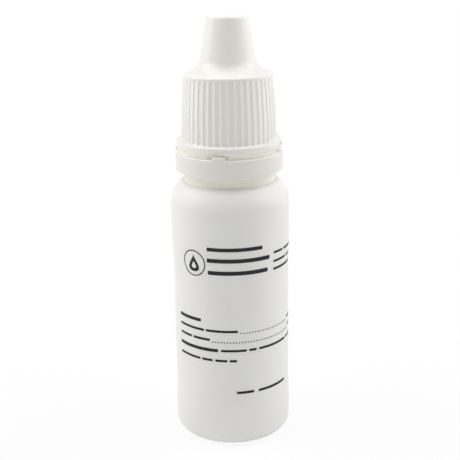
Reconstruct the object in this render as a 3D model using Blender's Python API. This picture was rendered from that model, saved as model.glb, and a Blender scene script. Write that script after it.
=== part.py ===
"""Eye drop bottle: a squeeze bottle, its pressed-in dropper, a ribbed screw cap and the cap's tamper ring.

Metres, +Z up. The bottle stands on the plane z = 0 with its axis on Z, and -Y is its front.
Every outline is a list of (radius, height) points, run up the outer side of the piece and down its inner side.
"""

from math import asin, cos, pi, radians, sin, tan

import bmesh
import bpy
from mathutils import Vector

MM = 0.001

# Gap between neighbouring pieces, and how far a ridge, lug or cutter is sunk into what it joins or cuts
CLEARANCE = 0.3 * MM
BITE = 0.25 * MM

# Fineness of the round surfaces
BOTTLE_STEPS = 48
DROPPER_STEPS = 40
RING_STEPS = 60
ARC_STEPS = 5
INNER_ARC_STEPS = 3
THREAD_STEPS = 28
LUG_STEPS = 4

# Bottle body
BODY_RADIUS = 11.0 * MM
BODY_WALL = 0.9 * MM
HEEL_RADIUS = 2.5 * MM
FOOT_WIDTH = 1.4 * MM
PUSH_UP = 0.8 * MM
PANEL_DEPTH = 0.17 * MM
PANEL_BOTTOM = 8.0 * MM
PANEL_RUN = 4.5 * MM
PANEL_TOP_MARGIN = 8.9 * MM
SIDE_HEIGHT = 45.4 * MM
SHOULDER_RADIUS = 5.2 * MM
SHOULDER_TURN = radians(48)
CROWN_RADIUS = 1.2 * MM

# Bottle neck, from the top of the shoulder up; its collar nearly fills the crown and stays clear of the ring
NECK_RADIUS = 6.3 * MM
NECK_WALL = 1.4 * MM
NECK_HEIGHT = 17.0 * MM
NECK_EDGE = 0.35 * MM
COLLAR_HEIGHT = 2.43 * MM
COLLAR_FILLET = 0.4 * MM
COLLAR_STEP = 0.18 * MM
COLLAR_GAP = 0.85 * MM
BEAD_THICKNESS = 0.6 * MM
BEAD_SLOPE = 0.7 * MM

# Screw thread shared by the neck and the cap; the gap is between the neck's crest and the cap's bore
THREAD_LEAD = 2.5 * MM
THREAD_RISE = 1.5 * MM
THREAD_GAP = 0.35 * MM
NECK_THREAD_HEIGHT = 0.7 * MM
NECK_THREAD_ROOT = 1.5 * MM
NECK_THREAD_CREST = 0.7 * MM
NECK_THREAD_TURNS = 2.0
CAP_THREAD_ROOT = 1.4 * MM
CAP_THREAD_CREST = 0.6 * MM
CAP_THREAD_TURNS = 1.6
CAP_THREAD_LAG_TURNS = 0.3
THREAD_END_TURNS = 0.2

# Tamper ring: how far it stands out past the flange, and how its pawl is held by the bead and carried by the collar
RING_STEP = 0.2 * MM
RING_WALL = 0.7 * MM
RING_HEIGHT = 3.47 * MM
RING_EDGE = 0.3 * MM
RING_TO_BEAD = 1.28 * MM
PAWL_HOLD = 0.7 * MM
PAWL_THICKNESS = 0.9 * MM
PAWL_RISE = 0.7 * MM
LUG_COUNT = 4
LUG_HEIGHT = 0.5 * MM
LUG_FOOT_START = radians(-20.7)
LUG_TOP_START = radians(-16.2)
LUG_TOP_END = radians(-4.8)
LUG_FOOT_END = radians(-3.2)

# Cap: flange, ribbed skirt and tower
SKIRT_WALL = 1.33 * MM
SKIRT_TAPER = 0.63 * MM
SKIRT_EDGE = 0.35 * MM
FLANGE_WIDTH = 1.0 * MM
FLANGE_HEIGHT = 1.345 * MM
FLANGE_EDGE = 0.3 * MM
CEILING_WALL = 1.145 * MM
SKIRT_STRAIGHT_SHARE = 0.45
RIB_COUNT = 45
RIB_DEPTH = 0.2 * MM
RIB_FOOT_WIDTH = 0.62 * MM
RIB_CREST_WIDTH = 0.4 * MM
RIB_MARGIN = 0.45 * MM
RIB_LAND = 0.12 * MM
SHOULDER_SLOPE = radians(18)
TOWER_BASE_RADIUS = 5.3 * MM
TOWER_FILLET = 3.2 * MM
TOWER_TOP_RADIUS = 3.71 * MM
TOWER_HEIGHT = 10.2 * MM
TOWER_EDGE = 0.55 * MM

# Cap: inside
CAP_LIP_WALL = 0.65 * MM
CAP_LIP_DROP = 1.02 * MM
CAP_UPPER_GAP = 0.5 * MM
CAP_THREAD_RUNOUT = 1.35 * MM
CAP_CROWN = 1.6 * MM
TOWER_BASE_WALL = 0.6 * MM
TOWER_TOP_WALL = 1.01 * MM
SEAL_PIN_BASE = 1.4 * MM
SEAL_PIN_TIP = 0.35 * MM
SEAL_PIN_ENTRY = 0.4 * MM
NOTCH_HEIGHT = 1.05 * MM
NOTCH_FOOT_START = radians(-24)
NOTCH_TOP_START = radians(-16)
NOTCH_END = radians(-6)
NOTCH_WALL = 0.05 * MM

# Dropper
DROPPER_FLANGE_INSET = 0.1 * MM
DROPPER_FLANGE_THICKNESS = 0.8 * MM
DROPPER_FLANGE_EDGE = 0.2 * MM
PLUG_LENGTH = 8.0 * MM
PLUG_WALL = 1.0 * MM
PLUG_LEAD_IN = 0.5 * MM
NOZZLE_HEIGHT = 7.6 * MM
NOZZLE_BASE_GAP = 0.8 * MM
NOZZLE_TIP_GAP = 0.95 * MM
NOZZLE_FILLET = 2.0 * MM
NOZZLE_TIP_ROUND = 0.5 * MM
NOZZLE_TIP_LAND = 0.25 * MM
PASSAGE_TOP_RADIUS = 0.9 * MM
PASSAGE_TOP_DROP = 1.8 * MM
ORIFICE_RADIUS = 0.35 * MM
MOUTH_DEPTH = 0.9 * MM

# Heights at which the pieces meet
SHOULDER_TOP = (
    SIDE_HEIGHT
    + SHOULDER_RADIUS * sin(SHOULDER_TURN)
    + CROWN_RADIUS * (1 - sin(SHOULDER_TURN))
)
CROWN_CENTRE = BODY_RADIUS - SHOULDER_RADIUS + (SHOULDER_RADIUS - CROWN_RADIUS) * cos(SHOULDER_TURN)
COLLAR_TOP = SHOULDER_TOP + COLLAR_HEIGHT
NECK_TOP = SHOULDER_TOP + NECK_HEIGHT
RING_BOTTOM = COLLAR_TOP + CLEARANCE - PAWL_RISE
BEAD_BOTTOM = RING_BOTTOM + PAWL_RISE + PAWL_THICKNESS + CLEARANCE
CAP_BOTTOM = RING_BOTTOM + RING_HEIGHT + LUG_HEIGHT + CLEARANCE
THREAD_START = CAP_BOTTOM + THREAD_RISE
CAP_BORE_STEP = THREAD_START + NECK_THREAD_TURNS * THREAD_LEAD + NECK_THREAD_ROOT / 2 + CAP_THREAD_RUNOUT
DROPPER_SEAT = NECK_TOP + CLEARANCE
DROPPER_FLANGE_TOP = DROPPER_SEAT + DROPPER_FLANGE_THICKNESS
CAP_CEILING = DROPPER_FLANGE_TOP + CLEARANCE
SKIRT_HEIGHT = CAP_CEILING + CEILING_WALL - CAP_BOTTOM - FLANGE_HEIGHT

# Radii of the cap and the ring, which follow from the neck that they fit
CAP_BORE = NECK_RADIUS + NECK_THREAD_HEIGHT + THREAD_GAP
CAP_THREAD_HEIGHT = NECK_THREAD_HEIGHT + THREAD_GAP - CLEARANCE
CAP_UPPER_BORE = NECK_RADIUS + CAP_UPPER_GAP
SKIRT_RADIUS = CAP_BORE + SKIRT_WALL
SKIRT_TOP_RADIUS = SKIRT_RADIUS - SKIRT_TAPER
FLANGE_RADIUS = SKIRT_RADIUS + FLANGE_WIDTH
RING_RADIUS = FLANGE_RADIUS + RING_STEP
RING_BORE = RING_RADIUS - RING_WALL
CAP_LIP_RADIUS = RING_BORE - CLEARANCE
BEAD_RADIUS = RING_BORE - RING_TO_BEAD
PAWL_RADIUS = BEAD_RADIUS - PAWL_HOLD
COLLAR_RADIUS = min(CROWN_CENTRE - COLLAR_STEP, RING_BORE - COLLAR_GAP)

# Radii of the tower's bore and of the dropper, which fits in the tower and in the neck
TOWER_BORE_BASE = TOWER_BASE_RADIUS - TOWER_BASE_WALL
TOWER_BORE_TOP = TOWER_TOP_RADIUS - TOWER_TOP_WALL
NOZZLE_BASE_RADIUS = TOWER_BORE_BASE - NOZZLE_BASE_GAP
NOZZLE_TIP_RADIUS = TOWER_BORE_TOP - NOZZLE_TIP_GAP
MOUTH_RADIUS = NOZZLE_TIP_RADIUS - NOZZLE_TIP_ROUND - NOZZLE_TIP_LAND
DROPPER_FLANGE_RADIUS = NECK_RADIUS - DROPPER_FLANGE_INSET
NECK_BORE = NECK_RADIUS - NECK_WALL
PLUG_RADIUS = NECK_BORE - CLEARANCE
PLUG_BORE = PLUG_RADIUS - PLUG_WALL

BOTTLE_WHITE = (0.86, 0.853, 0.825)
CAP_WHITE = (0.88, 0.87, 0.83)
DROPPER_WHITE = (0.86, 0.855, 0.835)


def clear_scene():
    for thing in list(bpy.data.objects):
        bpy.data.objects.remove(thing)


def plastic(name, colour, roughness):
    """A moulded plastic: its colour, roughness and no metal."""
    material = bpy.data.materials.new(name)
    material.use_nodes = True
    shader = material.node_tree.nodes["Principled BSDF"]
    shader.inputs["Base Color"].default_value = (*colour, 1)
    shader.inputs["Roughness"].default_value = roughness
    shader.inputs["Metallic"].default_value = 0
    return material


def arc(centre, radius, start, end, steps=ARC_STEPS):
    """Points of an arc about a centre, from one angle to another."""
    points = []
    for k in range(steps + 1):
        angle = start + (end - start) * k / steps
        points.append((centre[0] + radius * cos(angle), centre[1] + radius * sin(angle)))
    return points


def rounded(corners, steps=ARC_STEPS):
    """Outline through (radius, height, rounding) corners, each rounded by its own arc."""
    points = []
    last = len(corners) - 1
    for index, (radius, height, rounding) in enumerate(corners):
        here = Vector((radius, height))
        if rounding == 0 or index in (0, last):
            points.append(tuple(here))
            continue
        back = (Vector(corners[index - 1][:2]) - here).normalized()
        ahead = (Vector(corners[index + 1][:2]) - here).normalized()
        half = back.angle(ahead) / 2
        reach = rounding / tan(half)
        start, end = here + back * reach, here + ahead * reach
        centre = here + (back + ahead).normalized() * rounding / sin(half)
        sweep = (start - centre).angle_signed(end - centre)
        for k in range(steps + 1):
            spoke = start - centre
            turn = -sweep * k / steps
            points.append((
                centre.x + spoke.x * cos(turn) - spoke.y * sin(turn),
                centre.y + spoke.x * sin(turn) + spoke.y * cos(turn),
            ))
    return points


def at(radius, azimuth, height):
    """Point at an azimuth counted from the front, -Y, towards the right, +X."""
    return (radius * sin(azimuth), -radius * cos(azimuth), height)


def plain_ring(radius, height, steps):
    """A circle of points, or the one point on the axis."""
    if radius == 0:
        return [(0, 0, height)]
    return [at(radius, 2 * pi * k / steps, height) for k in range(steps)]


def join_rings(shape, lower, upper):
    """Faces between two rings of vertices, where one may hold a whole number of times as many as the other."""
    if len(lower) == 1 and len(upper) == 1:
        return
    count = max(len(lower), len(upper))
    low_step, high_step = count // len(lower), count // len(upper)
    for k in range(count):
        low = (lower[k // low_step], lower[(k + 1) // low_step % len(lower)])
        high = (upper[k // high_step], upper[(k + 1) // high_step % len(upper)])
        corners = []
        for vertex in (low[0], low[1], high[1], high[0]):
            if vertex not in corners:
                corners.append(vertex)
        shape.faces.new(corners)


def lofted(rings):
    """Closed shape through rings of points. The last ring joins the first, or both are points on the axis."""
    shape = bmesh.new()
    loops = [[shape.verts.new(point) for point in ring] for ring in rings]
    for lower, upper in zip(loops, loops[1:] + loops[:1]):
        join_rings(shape, lower, upper)
    return shape


def turned(outline, steps):
    return lofted([plain_ring(radius, height, steps) for radius, height in outline])


def swept(sections):
    """Closed bar through sections of four points each, with an end cap on the first and the last."""
    shape = bmesh.new()
    loops = [[shape.verts.new(point) for point in section] for section in sections]
    for one, two in zip(loops, loops[1:]):
        for k in range(len(one)):
            following = (k + 1) % len(one)
            shape.faces.new((one[k], one[following], two[following], two[k]))
    shape.faces.new(reversed(loops[0]))
    shape.faces.new(loops[-1])
    bmesh.ops.recalc_face_normals(shape, faces=shape.faces)
    return shape


def placed(name, shape, height, material=None):
    """Object whose origin is on the bottle's axis at a height; the shape's own heights count from the ground."""
    bmesh.ops.translate(shape, verts=shape.verts, vec=(0, 0, -height))
    mesh = bpy.data.meshes.new(name)
    shape.to_mesh(mesh)
    shape.free()
    piece = bpy.data.objects.new(name, mesh)
    piece.location = (0, 0, height)
    bpy.context.scene.collection.objects.link(piece)
    if material:
        mesh.materials.append(material)
        mesh.shade_smooth()
        mesh.set_sharp_from_angle(angle=radians(35))
    return piece


def combine(piece, tool, operation):
    """Adds a shape to a piece, or cuts it out, with a Boolean."""
    tool.hide_render = True
    tool.display_type = "WIRE"
    tool.parent = piece
    tool.location = (0, 0, 0)
    modifier = piece.modifiers.new(tool.name, "BOOLEAN")
    modifier.operation = operation
    modifier.solver = "EXACT"
    modifier.object = tool


def helix_ridge(root_radius, crest_radius, root_width, crest_width, start_height, start_turns, turns):
    """Screw thread ridge, sunk by BITE into the wall at its root and tapered to the wall at both ends."""
    steps = round(THREAD_STEPS * turns)
    outward = 1 if crest_radius > root_radius else -1
    sunk_radius = root_radius - outward * BITE
    sections = []
    for k in range(steps + 1):
        along = turns * k / steps
        fade = min(1, (along + THREAD_END_TURNS / 4) / THREAD_END_TURNS,
                   (turns - along + THREAD_END_TURNS / 4) / THREAD_END_TURNS)
        crest = root_radius + (crest_radius - root_radius) * fade
        azimuth = 2 * pi * (start_turns + along)
        height = start_height + THREAD_LEAD * (start_turns + along)
        sections.append([
            at(sunk_radius, azimuth, height - root_width / 2),
            at(crest, azimuth, height - crest_width / 2 * fade),
            at(crest, azimuth, height + crest_width / 2 * fade),
            at(sunk_radius, azimuth, height + root_width / 2),
        ])
    return swept(sections)


def ring_blocks(inner, outer, bottom, top, foot_start, foot_end, top_start, top_end):
    """Blocks on a ring, one for each lug, whose ends may slope between their foot and their top."""
    whole = bmesh.new()
    for lug in range(LUG_COUNT):
        turn = 2 * pi * lug / LUG_COUNT
        sections = []
        for k in range(LUG_STEPS + 1):
            share = k / LUG_STEPS
            foot = turn + foot_start + (foot_end - foot_start) * share
            head = turn + top_start + (top_end - top_start) * share
            sections.append([
                at(inner, foot, bottom),
                at(outer, foot, bottom),
                at(outer, head, top),
                at(inner, head, top),
            ])
        block = swept(sections)
        mesh = bpy.data.meshes.new("block")
        block.to_mesh(mesh)
        block.free()
        whole.from_mesh(mesh)
        bpy.data.meshes.remove(mesh)
    return whole


def side_outline(inset, steps):
    """The body's side from the heel to the shoulder's crown, moved in by a wall thickness."""
    side = BODY_RADIUS - inset
    panel = side - PANEL_DEPTH
    points = arc((BODY_RADIUS - HEEL_RADIUS, HEEL_RADIUS), HEEL_RADIUS - inset, -pi / 2, 0, steps)
    points += [
        (side, PANEL_BOTTOM - PANEL_RUN / 2),
        (panel, PANEL_BOTTOM + PANEL_RUN / 2),
        (panel, SIDE_HEIGHT - PANEL_TOP_MARGIN - PANEL_RUN / 2),
        (side, SIDE_HEIGHT - PANEL_TOP_MARGIN + PANEL_RUN / 2),
    ]
    centre = (BODY_RADIUS - SHOULDER_RADIUS, SIDE_HEIGHT)
    points += arc(centre, SHOULDER_RADIUS - inset, 0, SHOULDER_TURN, steps)
    crown = (CROWN_CENTRE, SHOULDER_TOP - CROWN_RADIUS)
    points += arc(crown, CROWN_RADIUS - inset, SHOULDER_TURN, pi / 2, INNER_ARC_STEPS)[1:]
    return points


def base_outline(lift):
    """The base from its centre to the heel: a low dome inside a flat foot."""
    foot_outer = BODY_RADIUS - HEEL_RADIUS
    foot_inner = foot_outer - FOOT_WIDTH
    sphere = (foot_inner**2 + PUSH_UP**2) / (2 * PUSH_UP)
    half = asin(foot_inner / sphere)
    centre = (0, PUSH_UP - sphere + lift)
    points = arc(centre, sphere, pi / 2, pi / 2 - half, ARC_STEPS - 1)
    return [(0, PUSH_UP + lift)] + points[1:]


def bottle_body(material):
    outer = base_outline(0) + side_outline(0, ARC_STEPS)
    fillet = min(COLLAR_FILLET, abs(CROWN_CENTRE - COLLAR_RADIUS) / 2)
    outer += rounded([
        (CROWN_CENTRE, SHOULDER_TOP, 0),
        (COLLAR_RADIUS, SHOULDER_TOP, fillet),
        (COLLAR_RADIUS, COLLAR_TOP, 0),
    ], 3)[1:]
    outer += [
        (NECK_RADIUS, COLLAR_TOP),
        (NECK_RADIUS, BEAD_BOTTOM),
        (BEAD_RADIUS, BEAD_BOTTOM),
        (BEAD_RADIUS, BEAD_BOTTOM + BEAD_THICKNESS),
        (NECK_RADIUS, BEAD_BOTTOM + BEAD_THICKNESS + BEAD_SLOPE),
        (NECK_RADIUS, NECK_TOP - NECK_EDGE),
        (NECK_RADIUS - NECK_EDGE, NECK_TOP),
        (NECK_BORE + NECK_EDGE, NECK_TOP),
        (NECK_BORE, NECK_TOP - NECK_EDGE),
        (NECK_BORE, SHOULDER_TOP - BODY_WALL),
    ]
    inner = base_outline(BODY_WALL) + side_outline(BODY_WALL, INNER_ARC_STEPS)
    body = placed("bottle_body", turned(outer + inner[::-1], BOTTLE_STEPS), 0, material)
    thread = helix_ridge(
        NECK_RADIUS, NECK_RADIUS + NECK_THREAD_HEIGHT, NECK_THREAD_ROOT, NECK_THREAD_CREST,
        THREAD_START, 0, NECK_THREAD_TURNS,
    )
    combine(body, placed("neck_thread_guide", thread, 0), "UNION")
    return body


def dropper_insert(material):
    tip = DROPPER_FLANGE_TOP + NOZZLE_HEIGHT
    passage_top = tip - PASSAGE_TOP_DROP
    outline = rounded([
        (PLUG_BORE, DROPPER_SEAT - PLUG_LENGTH, 0),
        (PLUG_RADIUS - PLUG_LEAD_IN / 2, DROPPER_SEAT - PLUG_LENGTH, 0),
        (PLUG_RADIUS, DROPPER_SEAT - PLUG_LENGTH + PLUG_LEAD_IN, 0),
        (PLUG_RADIUS, DROPPER_SEAT, 0),
        (DROPPER_FLANGE_RADIUS, DROPPER_SEAT, DROPPER_FLANGE_EDGE),
        (DROPPER_FLANGE_RADIUS, DROPPER_FLANGE_TOP, DROPPER_FLANGE_EDGE),
        (NOZZLE_BASE_RADIUS, DROPPER_FLANGE_TOP, NOZZLE_FILLET / 2),
        (NOZZLE_TIP_RADIUS, tip, NOZZLE_TIP_ROUND),
        (MOUTH_RADIUS, tip, 0),
        (ORIFICE_RADIUS, tip - MOUTH_DEPTH, 0),
        (ORIFICE_RADIUS, passage_top, 0),
        (PASSAGE_TOP_RADIUS, passage_top, 0),
        (PLUG_BORE, DROPPER_SEAT, 0),
    ], 4)
    return placed("dropper_insert", turned(outline, DROPPER_STEPS), DROPPER_SEAT, material)


def tamper_ring(material):
    top = RING_BOTTOM + RING_HEIGHT
    pawl = RING_BOTTOM + PAWL_RISE
    outline = [
        (RING_BORE, RING_BOTTOM),
        (RING_RADIUS - RING_EDGE / 2, RING_BOTTOM),
        (RING_RADIUS, RING_BOTTOM + RING_EDGE / 2),
        (RING_RADIUS, top - RING_EDGE),
        (RING_RADIUS - RING_EDGE, top),
        (RING_BORE, top),
        (RING_BORE, pawl + PAWL_THICKNESS),
        (PAWL_RADIUS, pawl + PAWL_THICKNESS),
        (PAWL_RADIUS, pawl),
        (RING_BORE, pawl),
    ]
    ring = placed("tamper_ring", turned(outline, RING_STEPS), RING_BOTTOM, material)
    lugs = ring_blocks(
        RING_BORE, RING_RADIUS - RING_EDGE, top - BITE, top + LUG_HEIGHT,
        LUG_FOOT_START, LUG_FOOT_END, LUG_TOP_START, LUG_TOP_END,
    )
    combine(ring, placed("lug_guide", lugs, RING_BOTTOM), "UNION")
    return ring


def skirt_radius(share):
    """Radius over the ribs' crests: nearly straight low down, then drawn in towards the top."""
    control = SKIRT_RADIUS
    low, high = (1 - share) ** 2, share**2
    return low * SKIRT_RADIUS + 2 * share * (1 - share) * control + high * SKIRT_TOP_RADIUS


def skirt_height(share):
    control = SKIRT_STRAIGHT_SHARE * SKIRT_HEIGHT
    return 2 * share * (1 - share) * control + share**2 * SKIRT_HEIGHT


def ribbed_ring(crest_radius, height):
    """Four points for each rib: foot, crest, crest and foot."""
    points = []
    for rib in range(RIB_COUNT):
        middle = 2 * pi * rib / RIB_COUNT
        for side, width, radius in (
            (-1, RIB_FOOT_WIDTH, crest_radius - RIB_DEPTH),
            (-1, RIB_CREST_WIDTH, crest_radius),
            (1, RIB_CREST_WIDTH, crest_radius),
            (1, RIB_FOOT_WIDTH, crest_radius - RIB_DEPTH),
        ):
            points.append(at(radius, middle + side * width / 2 / crest_radius, height))
    return points


def cap(material):
    flange_top = CAP_BOTTOM + FLANGE_HEIGHT
    skirt_top = flange_top + SKIRT_HEIGHT
    tower_top = skirt_top + TOWER_HEIGHT
    shoulder_rise = (SKIRT_TOP_RADIUS - TOWER_BASE_RADIUS) * tan(SHOULDER_SLOPE)
    lip_bottom = CAP_BOTTOM - CAP_LIP_DROP
    lower = rounded([
        (CAP_LIP_RADIUS - CAP_LIP_WALL, lip_bottom, 0),
        (CAP_LIP_RADIUS, lip_bottom, 0),
        (CAP_LIP_RADIUS, CAP_BOTTOM, 0),
        (FLANGE_RADIUS, CAP_BOTTOM, 0),
        (FLANGE_RADIUS, flange_top, FLANGE_EDGE),
        (SKIRT_RADIUS + RIB_LAND, flange_top, 0),
    ], 2)
    margin = RIB_MARGIN / SKIRT_HEIGHT
    ribbed = []
    for k in range(ARC_STEPS):
        share = (1 - margin) * k / (ARC_STEPS - 1)
        ribbed.append(ribbed_ring(skirt_radius(share), flange_top + skirt_height(share)))
    upper = rounded([
        (skirt_radius(1 - margin) + RIB_LAND / 2, flange_top + skirt_height(1 - margin) + RIB_LAND, 0),
        (SKIRT_TOP_RADIUS, skirt_top, SKIRT_EDGE),
        (TOWER_BASE_RADIUS, skirt_top + shoulder_rise, TOWER_FILLET),
        (TOWER_TOP_RADIUS, tower_top, TOWER_EDGE),
        (0, tower_top, 0),
    ], 4)
    nozzle_tip = DROPPER_FLANGE_TOP + NOZZLE_HEIGHT
    inside = [
        (0, nozzle_tip - SEAL_PIN_ENTRY),
        (SEAL_PIN_TIP, nozzle_tip - SEAL_PIN_ENTRY),
        (SEAL_PIN_BASE, tower_top - CAP_CROWN),
        (TOWER_BORE_TOP, tower_top - CAP_CROWN),
        (TOWER_BORE_BASE, CAP_CEILING),
        (CAP_UPPER_BORE, CAP_CEILING),
        (CAP_UPPER_BORE, CAP_BORE_STEP),
        (CAP_BORE, CAP_BORE_STEP - (CAP_BORE - CAP_UPPER_BORE)),
        (CAP_BORE, CAP_BOTTOM),
    ]
    rings = [plain_ring(radius, height, RIB_COUNT) for radius, height in lower]
    rings += ribbed
    rings += [plain_ring(radius, height, RIB_COUNT) for radius, height in upper]
    rings += [plain_ring(radius, height, RIB_COUNT) for radius, height in inside]
    piece = placed("cap", lofted(rings), CAP_BOTTOM, material)
    thread = helix_ridge(
        CAP_BORE, CAP_BORE - CAP_THREAD_HEIGHT, CAP_THREAD_ROOT, CAP_THREAD_CREST,
        THREAD_START - THREAD_LEAD / 2, CAP_THREAD_LAG_TURNS, CAP_THREAD_TURNS,
    )
    combine(piece, placed("cap_thread_guide", thread, CAP_BOTTOM), "UNION")
    notches = ring_blocks(
        CAP_LIP_RADIUS + NOTCH_WALL, FLANGE_RADIUS + BITE, CAP_BOTTOM - BITE, CAP_BOTTOM + NOTCH_HEIGHT,
        NOTCH_FOOT_START, NOTCH_END, NOTCH_TOP_START, NOTCH_END,
    )
    combine(piece, placed("notch_cutter", notches, CAP_BOTTOM), "DIFFERENCE")
    return piece


def main():
    clear_scene()
    cap_plastic = plastic("cap_plastic", CAP_WHITE, 0.35)
    bottle = bottle_body(plastic("bottle_plastic", BOTTLE_WHITE, 0.42))
    dropper = dropper_insert(plastic("dropper_plastic", DROPPER_WHITE, 0.4))
    ring = tamper_ring(cap_plastic)
    closure = cap(cap_plastic)
    whole = bpy.data.objects.new("eye_drop_bottle", None)
    bpy.context.scene.collection.objects.link(whole)
    for piece in (bottle, dropper, ring, closure):
        piece.parent = whole


main()
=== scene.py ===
"""Eye drop bottle: its looks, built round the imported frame.

Metres, +Z up. The bottle stands on z = 0 with its axis on Z, and its printed front faces -Y.
Azimuths count from the front towards the right, +X. An outline is a list of (radius, height) points
that runs up the outer side of a piece and down its inner side.
"""

from collections import namedtuple
from math import asin, cos, floor, pi, radians, sin, tan

import bpy
from mathutils import Matrix, Vector


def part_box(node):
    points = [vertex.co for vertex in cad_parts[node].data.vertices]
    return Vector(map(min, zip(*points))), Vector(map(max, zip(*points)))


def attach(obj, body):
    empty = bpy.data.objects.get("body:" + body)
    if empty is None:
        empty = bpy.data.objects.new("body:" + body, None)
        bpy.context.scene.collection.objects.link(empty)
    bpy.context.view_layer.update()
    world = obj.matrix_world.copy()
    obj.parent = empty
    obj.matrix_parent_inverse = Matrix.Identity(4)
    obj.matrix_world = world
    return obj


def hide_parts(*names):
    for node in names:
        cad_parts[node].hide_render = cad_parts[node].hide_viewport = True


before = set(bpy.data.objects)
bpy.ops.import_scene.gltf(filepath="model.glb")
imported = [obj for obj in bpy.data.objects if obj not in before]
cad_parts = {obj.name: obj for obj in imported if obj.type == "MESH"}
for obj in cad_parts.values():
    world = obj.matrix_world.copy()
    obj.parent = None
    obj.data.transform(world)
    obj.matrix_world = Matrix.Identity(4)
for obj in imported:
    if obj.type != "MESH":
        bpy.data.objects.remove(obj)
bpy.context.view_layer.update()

MM = 0.001
TURN = 2 * pi
CLEARANCE = 0.3 * MM

# Places that the frame gives
BODY_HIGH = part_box("bottle_body")[1]
INSERT_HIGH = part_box("dropper_insert")[1]
RING_LOW, RING_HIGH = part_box("tamper_ring")
CAP_LOW, CAP_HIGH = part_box("cap")

# Bottle body
BODY_RADIUS = BODY_HIGH.x
BODY_WALL = 0.9 * MM
HEEL_RADIUS = 2.5 * MM
FOOT_WIDTH = 1.4 * MM
PUSH_UP = 0.8 * MM
PANEL_DEPTH = 0.17 * MM
PANEL_BOTTOM = 8.0 * MM
PANEL_TOP = 36.5 * MM
PANEL_RUN = 4.5 * MM
SIDE_HEIGHT = 45.4 * MM
SHOULDER_RADIUS = 5.2 * MM
SHOULDER_TURN = radians(48)
CROWN_RADIUS = 1.2 * MM
SHOULDER_RISE = SHOULDER_RADIUS * sin(SHOULDER_TURN)
CROWN_RISE = CROWN_RADIUS * (1 - sin(SHOULDER_TURN))
SHOULDER_TOP = SIDE_HEIGHT + SHOULDER_RISE + CROWN_RISE
CROWN_CENTRE = BODY_RADIUS - SHOULDER_RADIUS + (SHOULDER_RADIUS - CROWN_RADIUS) * cos(SHOULDER_TURN)

# What blow moulding leaves: a parting ridge up each side, a pinched base seam and a faintly wavy wall
PARTING_HEIGHT = 0.03 * MM
PARTING_WIDTH = 0.13 * MM
PINCH_HEIGHT = 0.22 * MM
PINCH_WIDTH = 0.35 * MM
PINCH_LENGTH = 5.5 * MM
WAVE_HEIGHT = 0.02 * MM
WAVE_LENGTH = 13 * MM
WALL_WAVES = (
    # waves round the body, and waves up it for each wave length
    (2, 1.0),
    (3, -1.7),
    (5, 0.6),
)

# Bottle neck
NECK_RADIUS = 6.3 * MM
NECK_BORE = 4.9 * MM
NECK_TOP = BODY_HIGH.z
NECK_EDGE = 0.35 * MM
COLLAR_RADIUS = 8.3 * MM
COLLAR_HEIGHT = 2.43 * MM
COLLAR_FILLET = 0.15 * MM
COLLAR_TOP = SHOULDER_TOP + COLLAR_HEIGHT
BEAD_RADIUS = 7.9 * MM
BEAD_THICKNESS = 0.6 * MM
BEAD_SLOPE = 0.7 * MM
NECK_ROUND = 0.12 * MM

# Tamper ring, with its lugs and the pawl in its bore
RING_RADIUS = RING_HIGH.x
RING_BORE = 9.18 * MM
RING_BOTTOM = RING_LOW.z
RING_HEIGHT = 3.47 * MM
RING_TOP = RING_BOTTOM + RING_HEIGHT
RING_EDGE = 0.3 * MM
RING_FOOT_EDGE = 0.16 * MM
RING_INNER_EDGE = 0.1 * MM
PAWL_RADIUS = 7.2 * MM
PAWL_THICKNESS = 0.9 * MM
PAWL_RISE = 0.7 * MM
PAWL_EDGE = 0.16 * MM
BEAD_BOTTOM = RING_BOTTOM + PAWL_RISE + PAWL_THICKNESS + CLEARANCE
LUG_COUNT = 4
QUARTER = TURN / LUG_COUNT
LUG_HEIGHT = RING_HIGH.z - RING_TOP
LUG_FOOT_START = radians(-20.7)
LUG_TOP_START = radians(-16.2)
LUG_TOP_END = radians(-4.8)
LUG_FOOT_END = radians(-3.2)

# Cap: the lip inside the ring, and the flange
CAP_BOTTOM = RING_HIGH.z + CLEARANCE
CAP_LIP_BOTTOM = CAP_LOW.z
LIP_GAP = 0.1 * MM
CAP_LIP_RADIUS = RING_BORE - LIP_GAP
CAP_LIP_WALL = 0.65 * MM
CAP_LIP_EDGE = 0.12 * MM
FLANGE_RADIUS = -CAP_LOW.y
FLANGE_HEIGHT = 1.345 * MM
FLANGE_TOP = CAP_BOTTOM + FLANGE_HEIGHT
FLANGE_EDGE = 0.3 * MM
FLANGE_FOOT_EDGE = 0.2 * MM

# Cap: the wall that closes the slot over the ring from behind
SLOT_WALL_RADIUS = 9.3 * MM
SLOT_WALL_GAP = 0.02 * MM
SLOT_WALL_FOOT = RING_TOP + SLOT_WALL_GAP
SLOT_WALL_EDGE = 0.02 * MM
SLOT_WALL_STOP = radians(-2)

# Cap: the notches in its flange
NOTCH_WALL = 0.05 * MM
NOTCH_HEIGHT = 1.03 * MM
NOTCH_FOOT_START = radians(-24)
NOTCH_TOP_START = radians(-16)
NOTCH_END = radians(-6)
NOTCH_DRAFT = radians(0.25)

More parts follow.
